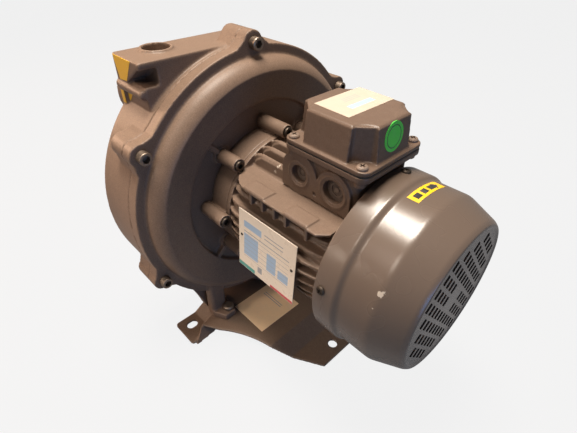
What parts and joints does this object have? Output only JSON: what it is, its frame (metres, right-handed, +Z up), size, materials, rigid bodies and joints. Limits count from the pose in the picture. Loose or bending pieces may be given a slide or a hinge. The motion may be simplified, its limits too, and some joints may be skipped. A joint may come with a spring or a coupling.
{
  "type": "side channel blower",
  "caption": "Side channel blower: round cast housing with two threaded ports, bladed wheel on the shaft of a finned electric motor, terminal box, fan cowl and a pressed sheet base.",
  "frame": {"origin": "point on the floor plane midway between the two rear foot slots of the base plate", "axes": "+X along the motor shaft towards the fan end, +Y across to the side away from the gauge port, +Z up from the floor"},
  "size_m": [0.3176, 0.29, 0.333],
  "materials": {
    "housing_paint": "satin",
    "motor_paint": "satin",
    "cowl_paint": "semi-gloss",
    "base_paint": "satin",
    "box_paint": "satin",
    "wheel_cast": "as cast",
    "shaft_steel": "ground",
    "bearing_steel": "ground",
    "screw_zinc": "zinc plated",
    "screw_painted": "satin",
    "seal_rubber": "matte",
    "lamination": "as stamped",
    "winding_copper": "varnished",
    "rotor_cage": "as cast",
    "fan_plastic": "matte",
    "board_plastic": "matte",
    "stud_brass": "turned",
    "plug_plastic": "matte",
    "plate_aluminium": "satin"
  },
  "bodies": {
    "frame": {"base_plate": "base_paint", "base_bolts": "screw_zinc", "front_cover": "housing_paint", "rear_housing": "housing_paint", "housing_seal": "seal_rubber", "housing_screws": "screw_zinc", "front_bearing_outer": "bearing_steel", "rear_bearing_outer": "bearing_steel", "shaft_seal": "seal_rubber", "drive_end_shield": "motor_paint", "shield_screws": "screw_zinc", "motor_frame": "motor_paint", "stator_core": "lamination", "stator_windings": "winding_copper", "fan_end_shield": "motor_paint", "wave_spring": "shaft_steel", "fan_cover": "cowl_paint", "fan_cover_screws": "screw_painted", "terminal_box_base": "box_paint", "terminal_gasket": "seal_rubber", "terminal_lid": "box_paint", "terminal_lid_screws": "screw_painted", "cable_entry_membranes": "plug_plastic", "terminal_board": "board_plastic", "terminal_studs": "stud_brass", "nameplate": "plate_aluminium", "nameplate_rivets": "plate_aluminium"},
    "rotor": {"shaft": "shaft_steel", "impeller": "wheel_cast", "impeller_key": "shaft_steel", "impeller_washer": "screw_zinc", "impeller_screw": "screw_zinc", "rotor_core": "rotor_cage", "front_bearing_inner": "bearing_steel", "rear_bearing_inner": "bearing_steel", "cooling_fan": "fan_plastic", "fan_circlip": "shaft_steel"},
    "front_cage": {"front_bearing_balls": "bearing_steel"},
    "rear_cage": {"rear_bearing_balls": "bearing_steel"}
  },
  "joints": [
    {"name": "rotor_spin", "type": "hinge", "parent": "frame", "child": "rotor", "pos_m": [0.1, 0, 0.175], "axis": [1, 0, 0], "continuous": true},
    {"name": "front_cage_spin", "type": "hinge", "parent": "frame", "child": "front_cage", "pos_m": [0.0455, 0, 0.175], "axis": [1, 0, 0], "continuous": true},
    {"name": "rear_cage_spin", "type": "hinge", "parent": "frame", "child": "rear_cage", "pos_m": [0.174, 0, 0.175], "axis": [1, 0, 0], "continuous": true}
  ],
  "couplings": [
    {"joint": "front_cage_spin", "follows": "rotor_spin", "ratio": 0.3948},
    {"joint": "rear_cage_spin", "follows": "rotor_spin", "ratio": 0.3791}
  ]
}
